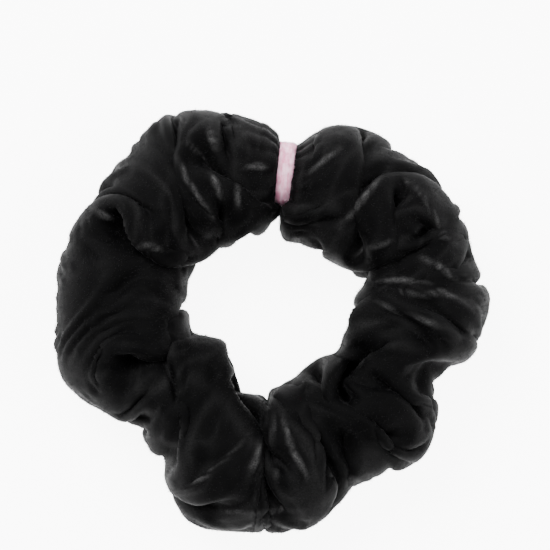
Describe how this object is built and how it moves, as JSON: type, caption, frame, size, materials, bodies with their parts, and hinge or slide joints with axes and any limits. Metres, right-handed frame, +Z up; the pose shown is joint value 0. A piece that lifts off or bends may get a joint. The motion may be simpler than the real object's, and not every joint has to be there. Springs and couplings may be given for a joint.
{
  "type": "scrunchie",
  "caption": "Black crushed-velvet scrunchie: a gathered fabric tube round flat elastic, pinched by a pale pink ribbon tie.",
  "frame": {"origin": "on the surface the scrunchie lies on, under the middle of its outline", "axes": "+Z up, along the ring's own axis; +Y towards the ribbon tie; +X to the right with the tie at the top"},
  "size_m": [0.1086, 0.1046, 0.0292],
  "materials": {
    "black_velvet": "crushed pile",
    "black_thread": "matte",
    "black_braid": "matte",
    "rubber_core": "matte",
    "pink_plush": "short plush",
    "pink_thread": "matte"
  },
  "bodies": {
    "cover": {"velvet_cover": "black_velvet", "long_seam_thread": "black_thread", "closing_seam_thread": "black_thread"},
    "elastic": {"elastic_sheath": "black_braid", "elastic_rubber_cores": "rubber_core", "elastic_join_thread": "black_thread"},
    "tie": {"tie_ribbon": "pink_plush", "tie_join_thread": "pink_thread"}
  },
  "joints": [
    {"name": "elastic_slip", "type": "hinge", "parent": "cover", "child": "elastic", "pos_m": [0, 0.00394, 0.0142], "axis": [0, 0, 1], "continuous": true},
    {"name": "tie_turn", "type": "hinge", "parent": "cover", "child": "tie", "pos_m": [0.00272, 0.03703, 0.0142], "axis": [0.9966, -0.0819, 0], "continuous": true}
  ]
}
